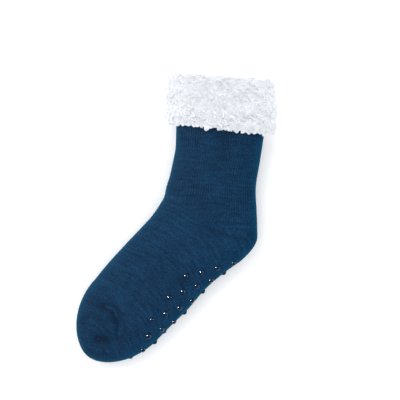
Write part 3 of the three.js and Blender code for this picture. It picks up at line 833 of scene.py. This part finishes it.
CURL_SPACING = 0.0021
CURL_SIZE = 0.0019
INSIDE_CURL_SPACING = 0.0028
INSIDE_CURL_SIZE = 0.0020
CURL_SIZES = (0.75, 1.2)  # the smallest and the largest curl, as shares of the size
CURL_JITTER = 0.45  # how far a curl stands off its place, as a share of the spacing
CURL_DEPTH = 0.6  # how far its middle lies inside the pile, as a share of its size
CURL_FLOOR = 0.0001  # the curls stay this far above the floor
CURL_LEAN = 0.45  # how much their axes lean, as the usual slope
CURL_TURNS = (0.9, 1.5)  # the fewest and the most turns
CURL_RADIUS = (1.0, 0.35)  # from the foot of a curl to its tip, as shares of its size, as the next one is
CURL_RISE = (-0.5, 0.55)
CURL_THICKNESS = 0.42
CURL_TAPER = (0.16, 0.86)  # the part of a sine's arch that the thickness follows
CURL_POINTS = 9
CURL_SIDES = 5


def curl_tubes(centres, normals, sizes):
    """Short tubes that wind in a loose spiral around each centre, as points and faces."""
    count = len(centres)
    helper = normalized(rng.normal(size=(count, 3)))
    first = normalized(np.cross(normals, helper))
    second = np.cross(normals, first)
    tilt = rng.normal(scale=CURL_LEAN, size=(count, 2))
    axis = normalized(normals + first * tilt[:, :1] + second * tilt[:, 1:])
    first = normalized(np.cross(axis, second))
    second = np.cross(axis, first)
    turns = rng.uniform(*CURL_TURNS, size=(count, 1)) * 2 * math.pi
    start = rng.uniform(0, 2 * math.pi, size=(count, 1))
    hand = rng.choice([-1.0, 1.0], size=(count, 1))
    share = np.linspace(0, 1, CURL_POINTS)[None, :]
    angle = start + hand * turns * share
    radius = sizes[:, None] * lerp(*CURL_RADIUS, share)
    lift = sizes[:, None] * lerp(*CURL_RISE, share)
    path = centres[:, None] + axis[:, None] * lift[..., None]
    path = path + first[:, None] * (radius * np.cos(angle))[..., None]
    path = path + second[:, None] * (radius * np.sin(angle))[..., None]
    ahead = normalized(np.gradient(path, axis=1))
    aside = normalized(np.cross(ahead, axis[:, None]))
    upward = np.cross(aside, ahead)
    thick = sizes[:, None] * CURL_THICKNESS * np.sin(math.pi * lerp(*CURL_TAPER, share)) ** 0.5
    turn = np.arange(CURL_SIDES) * 2 * math.pi / CURL_SIDES
    ring = aside[:, :, None] * np.cos(turn)[:, None] + upward[:, :, None] * np.sin(turn)[:, None]
    points = path[:, :, None] + ring * thick[..., None, None]
    tube = grid_faces(CURL_POINTS, CURL_SIDES)
    caps = np.array([np.arange(CURL_SIDES)[::-1], np.arange(CURL_SIDES) + (CURL_POINTS - 1) * CURL_SIDES])
    step = (np.arange(count) * CURL_POINTS * CURL_SIDES)[:, None, None]
    return points.reshape(-1, 3), [(tube + step).reshape(-1, 4), (caps + step).reshape(-1, CURL_SIDES)]


def scatter_curls(low, high, spacing, size):
    """Centres, outward directions and sizes of curls over a part of the pile's profile."""
    dense, length = cuff_profile(PROFILE_ROWS)
    row_numbers = np.arange(PROFILE_ROWS)
    last = PROFILE_ROWS - 1

    def profile_at(where):
        return [np.interp(where, row_numbers, dense[:, i]) for i in range(3)]

    rows = int(length * (high - low) / spacing)
    centres, normals = [], []
    for row in range(rows):
        share = low + (high - low) * (row + 0.5) / rows
        at = share * last
        place = place_at_height(profile_at(at)[0])
        ring = body_point(place, np.linspace(0, 2 * math.pi, CUFF_GIRTH_SAMPLES))
        around = np.linalg.norm(np.diff(ring, axis=0), axis=1).sum()
        columns = 2 * int(around / spacing / 2)
        angles = even_angles(np.array([place]), columns)[0]
        angles = angles + rng.uniform(-CURL_JITTER, CURL_JITTER, columns) * 2 * math.pi / columns
        at = at + rng.uniform(-CURL_JITTER, CURL_JITTER, columns) * spacing / length * last
        at = np.clip(at, 0, last - 0.01)
        here = pile_point(*profile_at(at), angles)
        there = pile_point(*profile_at(np.minimum(at + 2, last)), angles)
        beside = pile_point(*profile_at(at), angles + 0.01)
        centres.append(here)
        normals.append(normalized(np.cross(there - here, beside - here)))
    centres, normals = np.concatenate(centres), np.concatenate(normals)
    sizes = size * rng.uniform(*CURL_SIZES, len(centres))
    return centres, normals, sizes


def make_curls(name, low, high, spacing, size, material):
    """One mesh of curls, from a share `low` to a share `high` of the way from the hem to the inner edge."""
    centres, normals, sizes = scatter_curls(low, high, spacing, size)
    points, faces = curl_tubes(centres - normals * sizes[:, None] * CURL_DEPTH, normals, sizes)
    points[:, 2] = np.maximum(CURL_FLOOR, points[:, 2])
    return make_piece(name, points, faces, material)


# Grip dots

DOT_SIDES = 28
DOT_RINGS = 8
DOT_BALL = (DOT_RADIUS**2 + DOT_HEIGHT**2) / (2 * DOT_HEIGHT)  # radius of the ball that a dot is a cap of
DOT_SINK = 0.0003  # how far the rim of a dot bites into the knitting
SEARCH_ROUNDS = 4  # how often a dot's points are moved closer to their true places on the surface


def angle_around(place, distance):
    """The angle that lies a distance around the section from the sole fold."""
    angles = np.linspace(0, math.copysign(math.pi, distance), GIRTH_SAMPLES)
    points = body_point(place, angles)
    lengths = np.concatenate([[0], np.cumsum(np.linalg.norm(np.diff(points, axis=0), axis=1))])
    return np.interp(abs(distance), lengths, angles)


def surface_step(place, angle, forward, sideways):
    """The places and angles that lie `forward` and `sideways` metres from another on the surface."""
    along, _ = body_runs(place, angle)
    ahead = normalized(along)
    aside = np.cross(body_normal(place, angle), ahead)
    start = body_point(place, angle)
    target = start + forward[..., None] * ahead + sideways[..., None] * aside
    places, angles = np.full(forward.shape, float(place)), np.full(forward.shape, float(angle))
    for _ in range(SEARCH_ROUNDS):
        along, around = body_runs(places, angles)
        move = target - body_point(places, angles)
        skew = (along * around).sum(-1)
        along_sq, around_sq = (along**2).sum(-1), (around**2).sum(-1)
        area = along_sq * around_sq - skew**2
        forth, over = (move * along).sum(-1), (move * around).sum(-1)
        places = places + (forth * around_sq - over * skew) / area
        angles = angles + (over * along_sq - forth * skew) / area
    return places, angles


def dot_points(along, around):
    """One dot's dome: its rings from the rim up, and its top."""
    places = np.linspace(TIP + 0.01, HEEL, SOLE_SAMPLES)
    sole = folds_at(places)[0] @ FOOT_AXIS
    place = np.interp(-along, -sole, places)
    angle = angle_around(place, around)
    turn = np.arange(DOT_SIDES) * 2 * math.pi / DOT_SIDES
    tilt = np.linspace(1, 0, DOT_RINGS - 1, endpoint=False) * math.asin(DOT_RADIUS / DOT_BALL)
    radius = np.concatenate([[DOT_RADIUS], DOT_BALL * np.sin(tilt)])
    height = np.concatenate([[-SEAT_GAP - DOT_SINK], DOT_HEIGHT - DOT_BALL * (1 - np.cos(tilt))])
    forward = radius[:, None] * np.cos(turn)
    at_place, at_angle = surface_step(place, angle, forward, radius[:, None] * np.sin(turn))
    rings = offset_point(at_place, at_angle, SEAT_GAP + height[:, None])
    top = offset_point(np.array([place]), np.array([angle]), SEAT_GAP + DOT_HEIGHT)
    points = np.concatenate([rings.reshape(-1, 3), top])
    points[:, 2] = np.maximum(0, points[:, 2])
    return points


def make_grip_dots():
    """All dots as one mesh, in rows that run along the sole."""
    longest = max(DOTS_PER_ROW)
    pitch = (FOOT_LENGTH - GRIP_HEEL_MARGIN - GRIP_TOE_MARGIN) / (longest - 1)
    middle_row = (len(DOTS_PER_ROW) - 1) / 2
    points, quads, fans = [], [], []
    offset = 0
    for row, count in enumerate(DOTS_PER_ROW):
        for i in range(count):
            steps = i + (longest - count) / 2
            share = np.clip((steps / (longest - 1) - GRIP_ROLL_START) / (1 - GRIP_ROLL_START), 0, 1)
            rolled = GRIP_ROLL * share**GRIP_ROLL_EASE
            around = GRIP_OFF_FOLD + (middle_row - row) * GRIP_ROW_PITCH - rolled
            dot = dot_points(GRIP_HEEL_MARGIN + pitch * steps, around)
            points.append(dot)
            quads.append(grid_faces(DOT_RINGS, DOT_SIDES)[:, ::-1] + offset)
            fans.append(fan_faces(DOT_RINGS - 1, DOT_SIDES, len(dot) - 1) + offset)
            offset += len(dot)
    faces = [np.concatenate(quads), np.concatenate(fans)]
    return make_piece("silicone_dots", np.concatenate(points), faces, silicone_material())


# Lining

LINING_RINGS = 110
LINING_COLUMNS = 140
LINING_PILE = 0.0028
LINING_RELIEF = 0.0009
LINING_LUMP_SIZE = 0.007
LINING_START = 0.96  # share of the way down to the cuff's inner edge, so that the two overlap
LINING_END = TIP + 0.2


def make_lining(material):
    """The fleece inside the sock, from under the cuff's inner edge to the toe."""
    start = place_at_height(-CUFF_TURN_IN * LINING_START)
    places = np.linspace(start, LINING_END, LINING_RINGS)
    angles = even_angles(places, LINING_COLUMNS)
    plain = body_point(places[:, None], angles)
    out = -(KNIT_WALL + LINING_PILE) + LINING_RELIEF * lumps(plain, LINING_LUMP_SIZE, LINING_SEED)
    points = offset_point(places[:, None], angles, out)
    points = np.concatenate([points.reshape(-1, 3), [points[-1].mean(axis=0)]])
    tube = grid_faces(LINING_RINGS, LINING_COLUMNS)
    toe = fan_faces(LINING_RINGS - 1, LINING_COLUMNS, len(points) - 1, turned=True)
    return make_piece("fleece_lining", points, [tube, toe], material)


# The pieces, and the solids that they stand for

CURL_MESHES = [
    # name, from, to, spacing, size
    ("cuff_curls_lower", 0.0, 0.22, CURL_SPACING, CURL_SIZE),
    ("cuff_curls_upper", 0.22, 0.45, CURL_SPACING, CURL_SIZE),
    ("cuff_curls_fold", 0.45, 0.66, CURL_SPACING, CURL_SIZE),
    ("cuff_curls_inside", 0.66, 1.0, INSIDE_CURL_SPACING, INSIDE_CURL_SIZE),
]

body = make_knit_body()
fleece = fleece_material()
ground = make_cuff_base(fleece)
curls = [make_curls(*row, fleece) for row in CURL_MESHES]
dots = make_grip_dots()
lining = make_lining(fleece)

for piece in (body, ground, *curls, dots, lining):
    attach(piece, "root")
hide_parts("knit_upper")
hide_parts("sherpa_cuff")
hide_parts(*[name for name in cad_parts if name.startswith("grip_dot")])


# Floor, light and camera

FLOOR_REACH = 3.0  # from the middle to each side
FLOOR_GRAIN = 0.05
FLOOR_GLOW = 0.15  # it shines a little, as a light table does
WORLD_COLOUR = (0.965, 0.98, 1, 1)
WORLD_STRENGTH = 1.14
LAMPS = [
    # name, place, size, power, shows in the gloss only
    ("key", (-1.1, 1.0, 1.9), 1.6, 11, False),
    ("spark_left", (-1.15, 0.15, 1.2), 0.26, 300, True),
    ("spark_right", (1.2, 0.1, 0.7), 0.30, 6, True),
]
FRAME_PIXELS = 400
METRES_PER_PIXEL = 0.0011535
HEEL_PIXEL = (256, 243)  # where the heel corner lies in the frame, from its left and from its top
CAMERA_TURN = math.radians(6.5)
CAMERA_HEIGHT = 4.0
OUTLINE_HEIGHT = 0.02  # how high above the floor the sock's outline lies


def make_floor():
    n = Nodes("pale_floor")
    grain = n.noise(FLOOR_GRAIN, detail=3)
    colour = n.ramp(grain, [(0.0, (0.95, 0.95, 0.95)), (1.0, (0.97, 0.97, 0.97))])
    material = n.surface(
        Base_Color=colour, Roughness=0.9, Specular_IOR_Level=0.1,
        Emission_Color=(1, 1, 1, 1), Emission_Strength=FLOOR_GLOW,
    )
    mesh = bpy.data.meshes.new("floor")
    low, high = -FLOOR_REACH, FLOOR_REACH
    corners = [(low, low, 0), (high, low, 0), (high, high, 0), (low, high, 0)]
    mesh.from_pydata(corners, [], [(0, 1, 2, 3)])
    mesh.materials.append(material)
    floor = bpy.data.objects.new("floor", mesh)
    bpy.context.scene.collection.objects.link(floor)


def make_light(name, place, size, power, gloss_only):
    """A round lamp that looks at the middle of the sock. One for the gloss only makes small bright spots in
    the dots, and adds no light to dull surfaces."""
    data = bpy.data.lights.new(name, "AREA")
    data.shape = "DISK"
    data.size = size
    data.energy = power
    lamp = bpy.data.objects.new(name, data)
    lamp.visible_diffuse = not gloss_only
    lamp.location = place
    lamp.rotation_mode = "QUATERNION"
    lamp.rotation_quaternion = (-Vector(place)).to_track_quat("-Z", "Y")
    bpy.context.scene.collection.objects.link(lamp)


def make_camera():
    """Straight above, turned as in the photograph, with its frame over the same spot."""
    right = (FRAME_PIXELS / 2 - HEEL_PIXEL[0]) * METRES_PER_PIXEL
    down = (FRAME_PIXELS / 2 - HEEL_PIXEL[1]) * METRES_PER_PIXEL
    x = right * math.cos(CAMERA_TURN) + down * math.sin(CAMERA_TURN)
    y = right * math.sin(CAMERA_TURN) - down * math.cos(CAMERA_TURN)
    frame_width = FRAME_PIXELS * METRES_PER_PIXEL
    data = bpy.data.cameras.new("camera")
    data.sensor_width = 36
    data.lens = data.sensor_width * (CAMERA_HEIGHT - OUTLINE_HEIGHT) / frame_width
    camera = bpy.data.objects.new("camera", data)
    camera.location = (x + HEEL_AT[0], y + HEEL_AT[1], CAMERA_HEIGHT)
    camera.rotation_euler = (0, 0, CAMERA_TURN)
    bpy.context.scene.collection.objects.link(camera)
    bpy.context.scene.camera = camera


make_floor()
for row in LAMPS:
    make_light(*row)
make_camera()

world = bpy.data.worlds.new("studio")
world.use_nodes = True
background = world.node_tree.nodes["Background"]
background.inputs["Color"].default_value = WORLD_COLOUR
background.inputs["Strength"].default_value = WORLD_STRENGTH
world.cycles_visibility.glossy = False  # the pale surroundings give light but aren't mirrored in the dots
bpy.context.scene.world = world
bpy.context.scene.view_settings.view_transform = "Standard"
bpy.context.scene.view_settings.look = "None"
